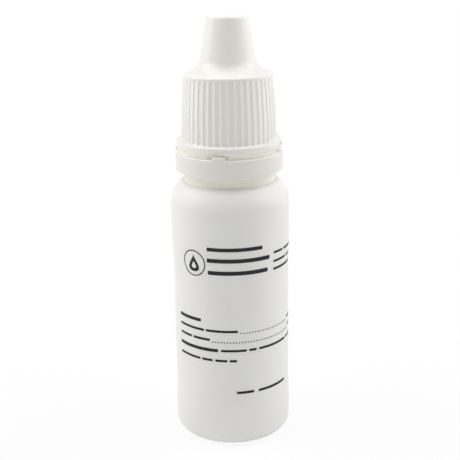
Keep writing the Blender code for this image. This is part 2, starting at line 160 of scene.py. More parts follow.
# Cap: ribbed skirt, shoulder and tower
SKIRT_RADIUS = 8.68 * MM
SKIRT_TOP_RADIUS = 8.05 * MM
SKIRT_HEIGHT = 11.9 * MM
SKIRT_TOP = FLANGE_TOP + SKIRT_HEIGHT
SKIRT_EDGE = 0.35 * MM
SKIRT_STRAIGHT_SHARE = 0.45
SKIRT_FILLET = 0.16 * MM
RIB_COUNT = 45
RIB_PHASE = radians(-0.75)
RIB_DEPTH = 0.14 * MM
RIB_FOOT_WIDTH = 0.72 * MM
RIB_CREST_WIDTH = 0.12 * MM
RIB_RUNOUT = 0.5 * MM
RIB_PLACE_SHARES = (0.1, 0.22, 0.34, 0.46, 0.58, 0.7, 0.84)
SHOULDER_SLOPE = radians(18)
TOWER_BASE_RADIUS = 5.3 * MM
TOWER_FILLET = 3.2 * MM
TOWER_TOP_RADIUS = 3.71 * MM
TOWER_TOP = CAP_HIGH.z
TOWER_EDGE = 0.55 * MM
GATE_RADIUS = 0.65 * MM
GATE_DEPTH = 0.18 * MM
GATE_ROUND = GATE_DEPTH / 3
GATE_NUB_RADIUS = 0.28 * MM
GATE_NUB_HEIGHT = 0.1 * MM
GATE_NUB_TOP_SHARE = 0.8

# Cap: inside
CAP_BORE = 7.35 * MM
CAP_UPPER_BORE = 6.8 * MM
CAP_BORE_DEPTH = 8.6 * MM
CAP_BORE_STEP = CAP_BOTTOM + CAP_BORE_DEPTH
CAP_CROWN = 1.6 * MM
TOWER_BORE_BASE = 4.7 * MM
TOWER_BORE_TOP = 2.7 * MM
SEAL_PIN_BASE = 1.4 * MM
SEAL_PIN_TIP = 0.35 * MM
SEAL_PIN_ENTRY = 0.4 * MM
BORE_ROUND = 0.2 * MM

# Screw thread
THREAD_LEAD = 2.5 * MM
THREAD_RISE = 1.5 * MM
THREAD_START = CAP_BOTTOM + THREAD_RISE
THREAD_END_TURNS = 0.2
NECK_THREAD_HEIGHT = 0.7 * MM
NECK_THREAD_ROOT = 1.5 * MM
NECK_THREAD_CREST = 0.7 * MM
NECK_THREAD_TURNS = 2.0
CAP_THREAD_HEIGHT = 0.75 * MM
CAP_THREAD_ROOT = 1.4 * MM
CAP_THREAD_CREST = 0.6 * MM
CAP_THREAD_TURNS = 1.6
CAP_THREAD_LAG_TURNS = 0.3

# Dropper
DROPPER_SEAT = NECK_TOP + CLEARANCE
DROPPER_FLANGE_RADIUS = INSERT_HIGH.x
DROPPER_FLANGE_THICKNESS = 0.8 * MM
DROPPER_FLANGE_TOP = DROPPER_SEAT + DROPPER_FLANGE_THICKNESS
DROPPER_FLANGE_GAP = 0.02 * MM
DROPPER_FLANGE_FOOT = NECK_TOP + DROPPER_FLANGE_GAP
DROPPER_FLANGE_EDGE = 0.2 * MM
PLUG_LENGTH = 8.0 * MM
PLUG_RADIUS = 4.6 * MM
PLUG_BORE = 3.6 * MM
PLUG_LEAD_IN = 0.5 * MM
NOZZLE_BASE_RADIUS = 3.9 * MM
NOZZLE_TIP_RADIUS = 1.75 * MM
NOZZLE_TIP = INSERT_HIGH.z
NOZZLE_FILLET = 1.0 * MM
NOZZLE_TIP_ROUND = 0.5 * MM
PASSAGE_TOP_RADIUS = 0.9 * MM
PASSAGE_TOP_DROP = 1.8 * MM
ORIFICE_RADIUS = 0.35 * MM
MOUTH_RADIUS = 1.0 * MM
MOUTH_DEPTH = 0.9 * MM

# Fineness: steps round each piece, steps of its arcs, and rows up its walls
BODY_STEPS = 240
DROPPER_STEPS = 120
INSIDE_STEPS = 180
RING_COLUMNS = (41, 12, 14, 12, 11)
NOTCH_COLUMNS = (41, 1, 36, 1, 101)
RIDGE_PLACE_SHARES = (-1.0, -0.5, 0.5, 1.0)
BASE_ARC = 16
SIDE_ARC = 14
CROWN_ARC = 6
INNER_ARC = 8
NECK_ARC = 4
MOUTH_ARC = 6
DROPPER_ARC = 8
RING_FOOT_ARC = 5
RING_TOP_ARC = 7
PAWL_ARC = 4
LIP_ARC = 4
FLANGE_ARC = 7
TOWER_ARC = 10
BORE_ARC = 5
SIDE_ROW = 1.2 * MM
THREAD_ROW = 0.08 * MM
FLANGE_FOOT_SHARES = (0, 0.08, 0.3, 0.6, 1)
NOTCH_ROWS = 8
NOTCH_FIRST_ROW = 2
SKIRT_ROWS = 28
SKIRT_FOOT_ROWS = 240
SKIRT_FOOT_COUNT = 4
SKIRT_RUNOUT_SHARES = (0.945, 0.955, 0.963, 0.972)
SKIRT_CROWN_SHARE = 0.97
SHARP_ANGLE = radians(38)

# Printing ink and where it lies: arc lengths count from the front, to the right
INK_PROUD = 0.02 * MM
INK_SINK = 0.06 * MM
INK_ROUND = 0.1 * MM
INK_CORNER_SHARES = (0, 0.15, 0.5)
INK_STEP = 0.4 * MM

HEADING_BARS = (
    # in millimetres: baseline, height of the line, thickness of its bar, start and end
    (38.3, 1.43, 0.68, -4.4, 5.9),
    (35.9, 2.0, 0.76, -4.45, 7.5),
    (33.6, 1.92, 0.76, -4.35, 7.1),
)
SIDE_BARS = (
    (36.9, 1.1, 0.45, 8.55, 11.3),
    (36.9, 1.1, 0.45, 11.75, 15.4),
    (35.2, 1.1, 0.45, 8.55, 12.6),
    (35.2, 1.1, 0.45, 13.0, 16.2),
    (33.7, 1.1, 0.45, 8.55, 14.9),
)
LIST_BARS = (
    (24.6, 1.0, 0.62, -11.75, -6.05),
    (22.8, 1.0, 0.45, -11.7, -5.45),
    (22.8, 1.0, 0.45, -5.05, 1.05),
    (22.8, 1.0, 0.45, 13.6, 16.4),
    (21.0, 1.0, 0.45, -11.6, -8.35),
    (21.0, 1.0, 0.45, -7.9, -4.25),
    (21.0, 1.0, 0.45, 14.4, 16.4),
    (19.0, 1.0, 0.62, -11.75, -2.7),
    (19.0, 1.0, 0.45, -2.15, 2.65),
    (19.0, 1.0, 0.45, 3.15, 4.6),
    (19.0, 1.0, 0.45, 5.15, 12.4),
    (19.0, 1.0, 0.45, 12.9, 16.4),
    (17.0, 1.0, 0.45, -11.7, -6.35),
    (17.0, 1.0, 0.45, -5.95, -3.8),
    (17.0, 1.0, 0.45, -3.25, -1.0),
    (17.0, 1.0, 0.45, -0.55, 0.8),
)
USE_BARS = (
    (10.1, 1.97, 0.5, 0.7, 4.0),
    (10.1, 1.97, 0.5, 4.95, 12.2),
)
LEADERS = (
    # in millimetres: baseline, start and end
    (22.8, 1.45, 13.2),
    (21.0, -3.85, 14.0),
)
LEADER_PITCH = 0.56 * MM
LEADER_DOT = 0.25 * MM
EMBLEM_ARC = -7.3 * MM
EMBLEM_HEIGHT = 36.0 * MM
EMBLEM_RADIUS = 2.48 * MM
EMBLEM_LINE = 0.2 * MM
EMBLEM_STEPS = 72
DROP_SIZE = 1.6 * MM
DROP_WIDTH_SHARE = 1.1
DROP_HOLLOW_SHARE = 0.45

# Camera, as fitted to the photograph's outline
CAMERA_PLACE = (-0.1 * MM, -190.116 * MM, 97.337 * MM)
CAMERA_PITCH = radians(16.921)
CAMERA_ROLL = radians(-0.951)
CAMERA_LENS = 82.78
CAMERA_NEAR = 10 * MM
SENSOR_WIDTH = 36.0

# Floor and light
FLOOR_SIZE = 3.0
FLOOR_COLOUR = (0.9, 0.9, 0.9, 1)
FLOOR_GLOW_SHARE = 0.88
FLOOR_GLOW_NEAR = 0.05
FLOOR_GLOW_FAR = 0.13
WORLD_LEVEL = 0.26
PANEL_DISTANCE = 0.45
STUDIO_PANELS = (
    # name, azimuth and elevation in degrees, width and height in metres, power in watts
    ("left_panel", -95, 12, 0.2, 0.5, 0.38),
    ("left_rear_panel", -120, 12, 0.25, 0.5, 0.09),
    ("right_panel", 95, 12, 0.2, 0.5, 0.30),
    ("right_rear_panel", 120, 12, 0.25, 0.5, 0.28),
    ("front_panel", 0, 15, 0.4, 0.5, 0.13),
    ("left_top_panel", -90, 50, 0.4, 0.4, 1.14),
    ("right_top_panel", 90, 50, 0.4, 0.4, 1.01),
    ("top_panel", 180, 88, 0.22, 0.22, 0.17),
)


def clamp(value):
    return min(1.0, max(0.0, value))


def eased(value):
    """Smooth step from 0 to 1."""
    share = clamp(value)
    return share * share * (3 - 2 * share)


def at(radius, azimuth, height):
    """Point at an azimuth counted from the front, -Y, towards the right, +X."""
    return (radius * sin(azimuth), -radius * cos(azimuth), height)


def arc(centre, radius, start, end, steps):
    """Points of an arc about a centre, from one angle to another."""
    points = []
    for k in range(steps + 1):
        angle = start + (end - start) * k / steps
        points.append((centre[0] + radius * cos(angle), centre[1] + radius * sin(angle)))
    return points


def rounded(corners, steps):
    """Outline through (radius, height, rounding) corners, each rounded by its own arc."""
    points = []
    last = len(corners) - 1
    for index, (radius, height, rounding) in enumerate(corners):
        here = Vector((radius, height))
        if rounding == 0 or index in (0, last):
            points.append(tuple(here))
            continue
        back = (Vector(corners[index - 1][:2]) - here).normalized()
        ahead = (Vector(corners[index + 1][:2]) - here).normalized()
        half = back.angle(ahead) / 2
        start = here + back * rounding / tan(half)
        end = here + ahead * rounding / tan(half)
        centre = here + (back + ahead).normalized() * rounding / sin(half)
        sweep = (start - centre).angle_signed(end - centre)
        spoke = start - centre
        for k in range(steps + 1):
            turn = -sweep * k / steps
            points.append((
                centre.x + spoke.x * cos(turn) - spoke.y * sin(turn),
                centre.y + spoke.x * sin(turn) + spoke.y * cos(turn),
            ))
    return points


def rows(radius, bottom, top, spacing):
    """Points up a straight wall, evenly spaced, without its first and last."""
    count = max(2, round(abs(top - bottom) / spacing))
    return [(radius, bottom + (top - bottom) * k / count) for k in range(1, count)]


def even(steps, start=0.0):
    """Azimuths evenly spaced round a whole turn."""
    return [start + TURN * k / steps for k in range(steps)]


def ring(radius, height, azimuths, relief=None):
    """A ring of points, which a relief may move, or the one point on the axis."""
    if radius == 0:
        return [(0, 0, height)]
    if relief is None:
        return [at(radius, azimuth, height) for azimuth in azimuths]
    points = []
    for azimuth in azimuths:
        moved_radius, moved_height = relief(azimuth, radius, height)
        points.append(at(moved_radius, azimuth, moved_height))
    return points


def rings(outline, azimuths, relief=None):
    """A ring of points for each point of an outline."""
    return [ring(radius, height, azimuths, relief) for radius, height in outline]


def faces_between(lower, upper):
    """Faces between two rings of vertex numbers, where one may hold a whole number of times as many."""
    count = max(len(lower), len(upper))
    low_step, high_step = count // len(lower), count // len(upper)
    faces = []
    for k in range(count):
        low = (lower[k // low_step], lower[(k + 1) // low_step % len(lower)])
        high = (upper[k // high_step], upper[(k + 1) // high_step % len(upper)])
        face = []
        for vertex in (low[0], low[1], high[1], high[0]):
            if vertex not in face:
                face.append(vertex)
        faces.append(face)
    return faces


def moulding(name, loops, material, inside=None, tucked=None):
    """Closed piece through rings of points. The last joins the first, or both are points on the axis.

    Faces at a radius and height for which tucked is true get the second material, inside. In this
    script that is the lighter, warmer plastic, a painted glow of light through the plastic over those
    faces' shade.
    """
    points, numbers, faces = [], [], []
    for loop in loops:
        numbers.append(list(range(len(points), len(points) + len(loop))))
        points += loop
    for lower, upper in zip(numbers, numbers[1:] + numbers[:1]):
        if len(lower) > 1 or len(upper) > 1:
            faces += faces_between(lower, upper)
    piece = shown(name, points, faces, material)
    if inside:
        piece.data.materials.append(inside)
        for face in piece.data.polygons:
            if tucked(face.center.xy.length, face.center.z):
                face.material_index = 1
    return piece


def shown(name, points, faces, material):
    """Smooth-shaded object from points and faces, in the scene."""
    mesh = bpy.data.meshes.new(name)
    mesh.from_pydata(points, [], faces)
    mesh.materials.append(material)
    mesh.shade_smooth()
    mesh.set_sharp_from_angle(angle=SHARP_ANGLE)
    piece = bpy.data.objects.new(name, mesh)
    bpy.context.scene.collection.objects.link(piece)
    return piece


# Bottle: outline and what moulding leaves on it


def side_radius(height):
    """The body's radius up its side: a shallow panel for the print between two smooth steps."""
    into = eased((height - PANEL_BOTTOM) / PANEL_RUN + 0.5)
    out = eased((height - PANEL_TOP) / PANEL_RUN + 0.5)
    return BODY_RADIUS - PANEL_DEPTH * into * (1 - out)


def wall_lift(azimuth, height):
    """How far the blown wall moves off its outline, inwards: less at the ridges, and faintly wavy."""
    across = abs(cos(azimuth)) * BODY_RADIUS
    ridge = eased(1 - across / PARTING_WIDTH)
    phase = TURN * height / WAVE_LENGTH
    wave = sum(sin(around * azimuth + upward * phase) for around, upward in WALL_WAVES)
    count = len(WALL_WAVES)
    return -PARTING_HEIGHT * (1 - ridge) - WAVE_HEIGHT * (wave + count) / (2 * count)


def side_relief(azimuth, radius, height):
    """The blown wall's ridges and waves, which fade out at the foot and at the crown."""
    settled = eased(height / HEEL_RADIUS) * eased((SHOULDER_TOP - height) / CROWN_RADIUS)
    return radius + wall_lift(azimuth, height) * settled, height


def base_relief(azimuth, radius, height):
    """The pinched seam under the base, along the parting plane."""
    across = abs(radius * cos(azimuth))
    along = abs(radius * sin(azimuth))
    ridge = eased(1 - across / PINCH_WIDTH) * eased((PINCH_LENGTH - along) / PINCH_WIDTH / 2)
    return radius, height - PINCH_HEIGHT * ridge


def thread_lift(azimuth, height, start_height, start_turns, turns, root, crest):
    """Share of the thread's height at a place: a rounded ridge that climbs one lead a turn."""
    lift = 0
    first = azimuth / TURN - start_turns
    for lap in range(floor(turns) + 1):
        along = first - floor(first) + lap
        if not 0 <= along <= turns:
            continue
        centre = start_height + THREAD_LEAD * (start_turns + along)
        away = abs(height - centre)
        fade = eased(min(along, turns - along) / THREAD_END_TURNS)
        lift = max(lift, fade * eased((root / 2 - away) / (root / 2 - crest / 2)))
    return lift


def neck_relief(azimuth, radius, height):
    """The neck's thread, which stands out from it."""
    lift = thread_lift(
        azimuth, height, THREAD_START, 0, NECK_THREAD_TURNS, NECK_THREAD_ROOT, NECK_THREAD_CREST
    )
    return radius + NECK_THREAD_HEIGHT * lift, height


def bore_relief(azimuth, radius, height):
    """The cap's thread, half a lead below the neck's and pointing inwards."""
    lift = thread_lift(
        azimuth, height, THREAD_START - THREAD_LEAD / 2, CAP_THREAD_LAG_TURNS,
        CAP_THREAD_TURNS, CAP_THREAD_ROOT, CAP_THREAD_CREST,
    )
    return radius - CAP_THREAD_HEIGHT * lift, height


def base_outline(lift):
    """The base from its centre to the heel: a low dome inside a flat foot."""
    foot_outer = BODY_RADIUS - HEEL_RADIUS
    foot_inner = foot_outer - FOOT_WIDTH
    sphere = (foot_inner**2 + PUSH_UP**2) / (2 * PUSH_UP)
    half = asin(foot_inner / sphere)
    centre = (0, PUSH_UP - sphere + lift)
    return [(0, PUSH_UP + lift)] + arc(centre, sphere, pi / 2, pi / 2 - half, BASE_ARC)[1:]


def side_outline(inset, steps):
    """The body's side from the heel to the shoulder's crown, moved in by a wall thickness."""
    heel = (BODY_RADIUS - HEEL_RADIUS, HEEL_RADIUS)
    points = arc(heel, HEEL_RADIUS - inset, -pi / 2, 0, steps)
    for _, height in rows(BODY_RADIUS, HEEL_RADIUS, SIDE_HEIGHT, SIDE_ROW):
        points.append((side_radius(height) - inset, height))
    shoulder = (BODY_RADIUS - SHOULDER_RADIUS, SIDE_HEIGHT)
    points += arc(shoulder, SHOULDER_RADIUS - inset, 0, SHOULDER_TURN, steps)
    crown = (CROWN_CENTRE, SHOULDER_TOP - CROWN_RADIUS)
    points += arc(crown, CROWN_RADIUS - inset, SHOULDER_TURN, pi / 2, CROWN_ARC)[1:]
    return points


def body_azimuths():
    """Even steps round the body, with a few more at the two parting ridges."""
    azimuths = even(BODY_STEPS)
    for side in (TURN / 4, 3 * TURN / 4):
        for share in RIDGE_PLACE_SHARES:
            azimuths.append(side + share * PARTING_WIDTH / BODY_RADIUS)
    return sorted(azimuths)


def under_ring(radius, height):
    """The collar, in the shade of the tamper ring, which gets the lighter, warmer plastic: a painted
    glow of light through the plastic over that shade.
    """
    on_collar = NECK_RADIUS < radius < COLLAR_RADIUS + COLLAR_FILLET / 2
    return on_collar and SHOULDER_TOP < height <= COLLAR_TOP


def bottle_shell(material, inside):
    """Body and neck as one closed shell: up the outside to the mouth and back down the inside."""
    azimuths = body_azimuths()
    loops = rings(base_outline(0), azimuths, base_relief)
    loops += rings(side_outline(0, SIDE_ARC), azimuths, side_relief)
    neck = rounded([
        (CROWN_CENTRE, SHOULDER_TOP, 0),
        (COLLAR_RADIUS, SHOULDER_TOP, COLLAR_FILLET),
        (COLLAR_RADIUS, COLLAR_TOP, NECK_ROUND),
        (NECK_RADIUS, COLLAR_TOP, NECK_ROUND),
        (NECK_RADIUS, BEAD_BOTTOM, NECK_ROUND),
        (BEAD_RADIUS, BEAD_BOTTOM, NECK_ROUND),
        (BEAD_RADIUS, BEAD_BOTTOM + BEAD_THICKNESS, NECK_ROUND),
        (NECK_RADIUS, BEAD_BOTTOM + BEAD_THICKNESS + BEAD_SLOPE, NECK_ROUND),
        (NECK_RADIUS, NECK_TOP, 0),
    ], NECK_ARC)[1:-1]
    loops += rings(neck, azimuths)
    threaded = rows(NECK_RADIUS, neck[-1][1], NECK_TOP - NECK_EDGE, THREAD_ROW)
    loops += rings(threaded, azimuths, neck_relief)
    mouth = rounded([
        (NECK_RADIUS, NECK_TOP - 2 * NECK_EDGE, 0),
        (NECK_RADIUS, NECK_TOP, NECK_EDGE),
        (NECK_BORE, NECK_TOP, NECK_EDGE),
        (NECK_BORE, SHOULDER_TOP - BODY_WALL, 0),
    ], MOUTH_ARC)[1:]
    loops += rings(mouth, azimuths)
    inner = base_outline(BODY_WALL) + side_outline(BODY_WALL, INNER_ARC)
    loops += rings(inner[::-1], azimuths)
    return moulding("bottle_shell", loops, material, inside, under_ring)


# Dropper


def dropper_nozzle(material):
    """The dropper: plug, flange and nozzle, with its passage."""
    plug_foot = DROPPER_SEAT - PLUG_LENGTH
    passage_top = NOZZLE_TIP - PASSAGE_TOP_DROP
    outline = rounded([
        (PLUG_BORE, plug_foot, 0),
        (PLUG_RADIUS - PLUG_LEAD_IN / 2, plug_foot, 0),
        (PLUG_RADIUS, plug_foot + PLUG_LEAD_IN, 0),
        (PLUG_RADIUS, DROPPER_FLANGE_FOOT, 0),
        (DROPPER_FLANGE_RADIUS, DROPPER_FLANGE_FOOT, DROPPER_FLANGE_EDGE),
        (DROPPER_FLANGE_RADIUS, DROPPER_FLANGE_TOP, DROPPER_FLANGE_EDGE),
        (NOZZLE_BASE_RADIUS, DROPPER_FLANGE_TOP, NOZZLE_FILLET),
        (NOZZLE_TIP_RADIUS, NOZZLE_TIP, NOZZLE_TIP_ROUND),
        (MOUTH_RADIUS, NOZZLE_TIP, ORIFICE_RADIUS / 4),
        (ORIFICE_RADIUS, NOZZLE_TIP - MOUTH_DEPTH, 0),
        (ORIFICE_RADIUS, passage_top, 0),
        (PASSAGE_TOP_RADIUS, passage_top, 0),
        (PLUG_BORE, DROPPER_SEAT, 0),
    ], DROPPER_ARC)
    return moulding("dropper_nozzle", rings(outline, even(DROPPER_STEPS)), material)


# Tamper ring


def in_quarter(azimuth):
    """The azimuth counted from the middle of its lug's quarter."""
    return (azimuth + QUARTER / 2) % QUARTER - QUARTER / 2


def spaced(breaks, counts):
    """Azimuths for every lug's quarter: between each two breaks, so many even steps."""
    azimuths = []
    for lug in range(LUG_COUNT):
        for start, end, count in zip(breaks, breaks[1:], counts):
            for k in range(count):
                azimuths.append(TURN * lug / LUG_COUNT + start + (end - start) * k / count)
    return azimuths


def lug_relief(azimuth, radius, height):
    """Raises the ring's top edge to lugs with sloping ends."""
    place = in_quarter(azimuth)
    rise = (place - LUG_FOOT_START) / (LUG_TOP_START - LUG_FOOT_START)
    fall = (LUG_FOOT_END - place) / (LUG_FOOT_END - LUG_TOP_END)
    return radius, height + LUG_HEIGHT * eased(min(rise, fall))


def in_ring(radius, height):
    """The ring's bore, its top, which the cap's flange hides from the light, and its thin lower rim.
    They get the lighter, warmer plastic, a painted glow of light through the plastic over their shade.
    """
    on_top = height > RING_TOP - RING_INNER_EDGE and radius < RING_RADIUS - RING_EDGE
    on_rim = height < RING_BOTTOM + RING_FOOT_EDGE / 2
    return on_top or on_rim or radius < RING_BORE + RING_INNER_EDGE


def tamper_band(material, inside):
    """The ring with its lugs on top and the pawl in its bore."""
    breaks = (-QUARTER / 2, LUG_FOOT_START, LUG_TOP_START, LUG_TOP_END, LUG_FOOT_END, QUARTER / 2)
    azimuths = spaced(breaks, RING_COLUMNS)
    pawl = RING_BOTTOM + PAWL_RISE
    lower = rounded([
        (RING_BORE, RING_BOTTOM, 0),
        (RING_RADIUS, RING_BOTTOM, RING_FOOT_EDGE),
        (RING_RADIUS, RING_TOP, 0),
    ], RING_FOOT_ARC)[:-1]
    crest = rounded([
        (RING_RADIUS, RING_BOTTOM, 0),
        (RING_RADIUS, RING_TOP, RING_EDGE),
        (RING_BORE, RING_TOP, RING_INNER_EDGE),
        (RING_BORE, RING_BOTTOM, 0),
    ], RING_TOP_ARC)[1:-1]
    inner = rounded([
        (RING_BORE, RING_TOP, 0),
        (RING_BORE, pawl + PAWL_THICKNESS, RING_INNER_EDGE),
        (PAWL_RADIUS, pawl + PAWL_THICKNESS, PAWL_EDGE),
        (PAWL_RADIUS, pawl, PAWL_EDGE),
        (RING_BORE, pawl, RING_INNER_EDGE),
        (RING_BORE, RING_BOTTOM, 0),
    ], PAWL_ARC)[1:-1]
    loops = rings(lower, azimuths)
    loops += rings(crest, azimuths, lug_relief)
    loops += rings(inner, azimuths)
    return moulding("tamper_band", loops, material, inside, in_ring)


# Cap


def lip_relief(azimuth, radius, height):
    """The wall over the ring stands back to the lip where the lugs are."""
    if NOTCH_FOOT_START < in_quarter(azimuth) < SLOT_WALL_STOP:
        radius = min(radius, CAP_LIP_RADIUS)
    return radius, height


def notched_ring(height, share):
    """Ring round the flange at a share of the notches' height, drawn in along each notch."""
    start = NOTCH_FOOT_START + (NOTCH_TOP_START - NOTCH_FOOT_START) * share
    breaks = (
        -QUARTER / 2, start - NOTCH_DRAFT, start + NOTCH_DRAFT,
        NOTCH_END - NOTCH_DRAFT, NOTCH_END + NOTCH_DRAFT, QUARTER / 2,
    )
    below = 1 - clamp((height - CAP_BOTTOM) / FLANGE_FOOT_EDGE)
    edge = FLANGE_FOOT_EDGE * (1 - (1 - below**2) ** 0.5)
    points = []
    first = NOTCH_COLUMNS[0] + NOTCH_COLUMNS[1]
    for k, azimuth in enumerate(spaced(breaks, NOTCH_COLUMNS)):
        column = k % sum(NOTCH_COLUMNS)
        within = first <= column <= first + NOTCH_COLUMNS[2]
        radius = CAP_LIP_RADIUS + NOTCH_WALL if within else FLANGE_RADIUS - edge
        points.append(at(radius, azimuth, height))
    return points


def rib_offset_shares():
    """Places across one rib's pitch, closest on the flanks, as shares of half the pitch."""
    left = [-share for share in RIB_PLACE_SHARES[::-1]]
    return [-1.0] + left + [0.0] + list(RIB_PLACE_SHARES)


def rib_azimuths():
    """Columns across every rib, which start in the groove nearest to the first quarter's left end."""
    azimuths = []
    pitch = TURN / RIB_COUNT
    first = -round(RIB_COUNT / LUG_COUNT / 2 - 0.5)
    for rib in range(first, first + RIB_COUNT):
        for share in rib_offset_shares():
            azimuths.append(RIB_PHASE + pitch * rib + pitch / 2 * share)
    return azimuths


def skirt_radius(share):
    """Radius over the ribs' crests: nearly straight low down, then drawn in towards the top."""
    return SKIRT_RADIUS - (SKIRT_RADIUS - SKIRT_TOP_RADIUS) * share**2


def skirt_height(share):
    """Height over the flange at a share of the skirt's side."""
    control = SKIRT_STRAIGHT_SHARE * SKIRT_HEIGHT
    return 2 * share * (1 - share) * control + share**2 * SKIRT_HEIGHT


def rib_relief(azimuth, radius, height):
    """Grooves between the ribs, which run out under the skirt's rounded top."""
    pitch = TURN / RIB_COUNT
    offset = abs((azimuth - RIB_PHASE + pitch / 2) % pitch - pitch / 2) * SKIRT_RADIUS
    groove = eased((offset - RIB_CREST_WIDTH / 2) / (RIB_FOOT_WIDTH / 2 - RIB_CREST_WIDTH / 2))
    runout = eased((SKIRT_TOP - SKIRT_EDGE - height) / RIB_RUNOUT)
    flare = SKIRT_FILLET * (1 - clamp((height - FLANGE_TOP) / SKIRT_FILLET)) ** 2
    return radius - RIB_DEPTH * groove * runout + flare, height


def skirt_outline():
    """Rows up the ribs, closer at the fillet on the ledge and where the grooves run out."""
    shares = [k / SKIRT_FOOT_ROWS for k in range(SKIRT_FOOT_COUNT)]
    shares += [k / SKIRT_ROWS for k in range(1, SKIRT_ROWS - 1)]
    shares += SKIRT_RUNOUT_SHARES
    return [(skirt_radius(share), FLANGE_TOP + skirt_height(share)) for share in shares]


def in_slot(radius, height):
    """The faces in the slot over the ring, in the notches and in the mouth of the cap. They get the
    lighter, warmer plastic, a painted glow of light through the plastic over their shade.
    """
    is_low = height < CAP_BOTTOM + NOTCH_HEIGHT + CAP_LIP_EDGE
    return is_low and radius < SLOT_WALL_RADIUS + CAP_LIP_EDGE


def screw_cap(material, inside):
    """The cap: notched flange, ribbed skirt and tower, and its bore with pin and thread."""
    plain = even(INSIDE_STEPS, -QUARTER / 2)
    ribbed = rib_azimuths()
    lip = rounded([
        (CAP_LIP_RADIUS - CAP_LIP_WALL, CAP_LIP_BOTTOM, 0),
        (CAP_LIP_RADIUS, CAP_LIP_BOTTOM, CAP_LIP_EDGE),
        (CAP_LIP_RADIUS, SLOT_WALL_FOOT, SLOT_WALL_EDGE),
        (SLOT_WALL_RADIUS, SLOT_WALL_FOOT, SLOT_WALL_EDGE),
        (SLOT_WALL_RADIUS, CAP_BOTTOM, CAP_LIP_EDGE),
        (FLANGE_RADIUS, CAP_BOTTOM, 0),
    ], LIP_ARC)[:-1]
    loops = rings(lip, plain, lip_relief)
    rises = [FLANGE_FOOT_EDGE * share for share in FLANGE_FOOT_SHARES]
    rises += [NOTCH_HEIGHT * k / NOTCH_ROWS for k in range(NOTCH_FIRST_ROW, NOTCH_ROWS + 1)]
    for rise in rises:
        loops.append(notched_ring(CAP_BOTTOM + rise, rise / NOTCH_HEIGHT))
    ledge = rounded([
        (FLANGE_RADIUS, CAP_BOTTOM, 0),
        (FLANGE_RADIUS, FLANGE_TOP, FLANGE_EDGE),
        (SKIRT_RADIUS + 2 * SKIRT_FILLET, FLANGE_TOP, 0),
    ], FLANGE_ARC)[1:]
    loops += rings(ledge, ribbed)
    loops += rings(skirt_outline(), ribbed, rib_relief)
    rise = (SKIRT_TOP_RADIUS - TOWER_BASE_RADIUS) * tan(SHOULDER_SLOPE)
    gate_floor = TOWER_TOP - GATE_DEPTH
    nub_top = gate_floor + GATE_NUB_HEIGHT
    crown = rounded([
        (skirt_radius(SKIRT_CROWN_SHARE), FLANGE_TOP + skirt_height(SKIRT_CROWN_SHARE), 0),
        (SKIRT_TOP_RADIUS, SKIRT_TOP, SKIRT_EDGE),
        (TOWER_BASE_RADIUS, SKIRT_TOP + rise, TOWER_FILLET),
        (TOWER_TOP_RADIUS, TOWER_TOP, TOWER_EDGE),
        (GATE_RADIUS, TOWER_TOP, GATE_ROUND),
        (GATE_RADIUS - GATE_DEPTH / 2, gate_floor, GATE_ROUND),
        (GATE_NUB_RADIUS, gate_floor, GATE_ROUND),
        (GATE_NUB_RADIUS * GATE_NUB_TOP_SHARE, nub_top, GATE_NUB_HEIGHT / 4),
        (0, nub_top, 0),
    ], TOWER_ARC)[1:]
    loops += rings(crown, ribbed)
    ceiling = DROPPER_FLANGE_TOP + CLEARANCE
    pin_tip = NOZZLE_TIP - SEAL_PIN_ENTRY
    step_foot = CAP_BORE_STEP - (CAP_BORE - CAP_UPPER_BORE)
    bore = rounded([
        (0, pin_tip, 0),
        (SEAL_PIN_TIP, pin_tip, SEAL_PIN_TIP / 2),
        (SEAL_PIN_BASE, TOWER_TOP - CAP_CROWN, BORE_ROUND),
        (TOWER_BORE_TOP, TOWER_TOP - CAP_CROWN, BORE_ROUND),
        (TOWER_BORE_BASE, ceiling, BORE_ROUND),
        (CAP_UPPER_BORE, ceiling, BORE_ROUND),
        (CAP_UPPER_BORE, CAP_BORE_STEP, BORE_ROUND),
        (CAP_BORE, step_foot, BORE_ROUND),
        (CAP_BORE, CAP_BOTTOM, 0),
    ], BORE_ARC)[:-1]
    loops += rings(bore, plain)
    threaded = rows(CAP_BORE, bore[-1][1], CAP_BOTTOM, THREAD_ROW)
    loops += rings(threaded, plain, bore_relief)
    loops.append(ring(CAP_BORE, CAP_BOTTOM, plain))
    return moulding("screw_cap", loops, material, inside, in_slot)


# Printing on the body


def on_wall(arc_length, height, proud):
    """Point on the body's printed face, by its arc length from the front and its height."""
    azimuth = arc_length / side_radius(PANEL_BOTTOM + PANEL_RUN)
    return at(side_radius(height) + wall_lift(azimuth, height) + proud, azimuth, height)


def ink_strip(sections, closed):
    """Thin closed slab of ink through sections of two points (arc length, height)."""
    points, faces = [], []
    for (one_arc, one_height), (two_arc, two_height) in sections:
        points.append(on_wall(one_arc, one_height, INK_PROUD))
        points.append(on_wall(two_arc, two_height, INK_PROUD))
        points.append(on_wall(two_arc, two_height, -INK_SINK))
        points.append(on_wall(one_arc, one_height, -INK_SINK))
    count = len(sections)
    for k in range(count if closed else count - 1):
        here, there = 4 * k, 4 * ((k + 1) % count)
        for side in range(4):
            following = (side + 1) % 4
            faces.append((here + side, there + side, there + following, here + following))
    if not closed:
        faces.append((0, 1, 2, 3))
        last = 4 * count - 4
        faces.append((last + 3, last + 2, last + 1, last))
    return points, faces


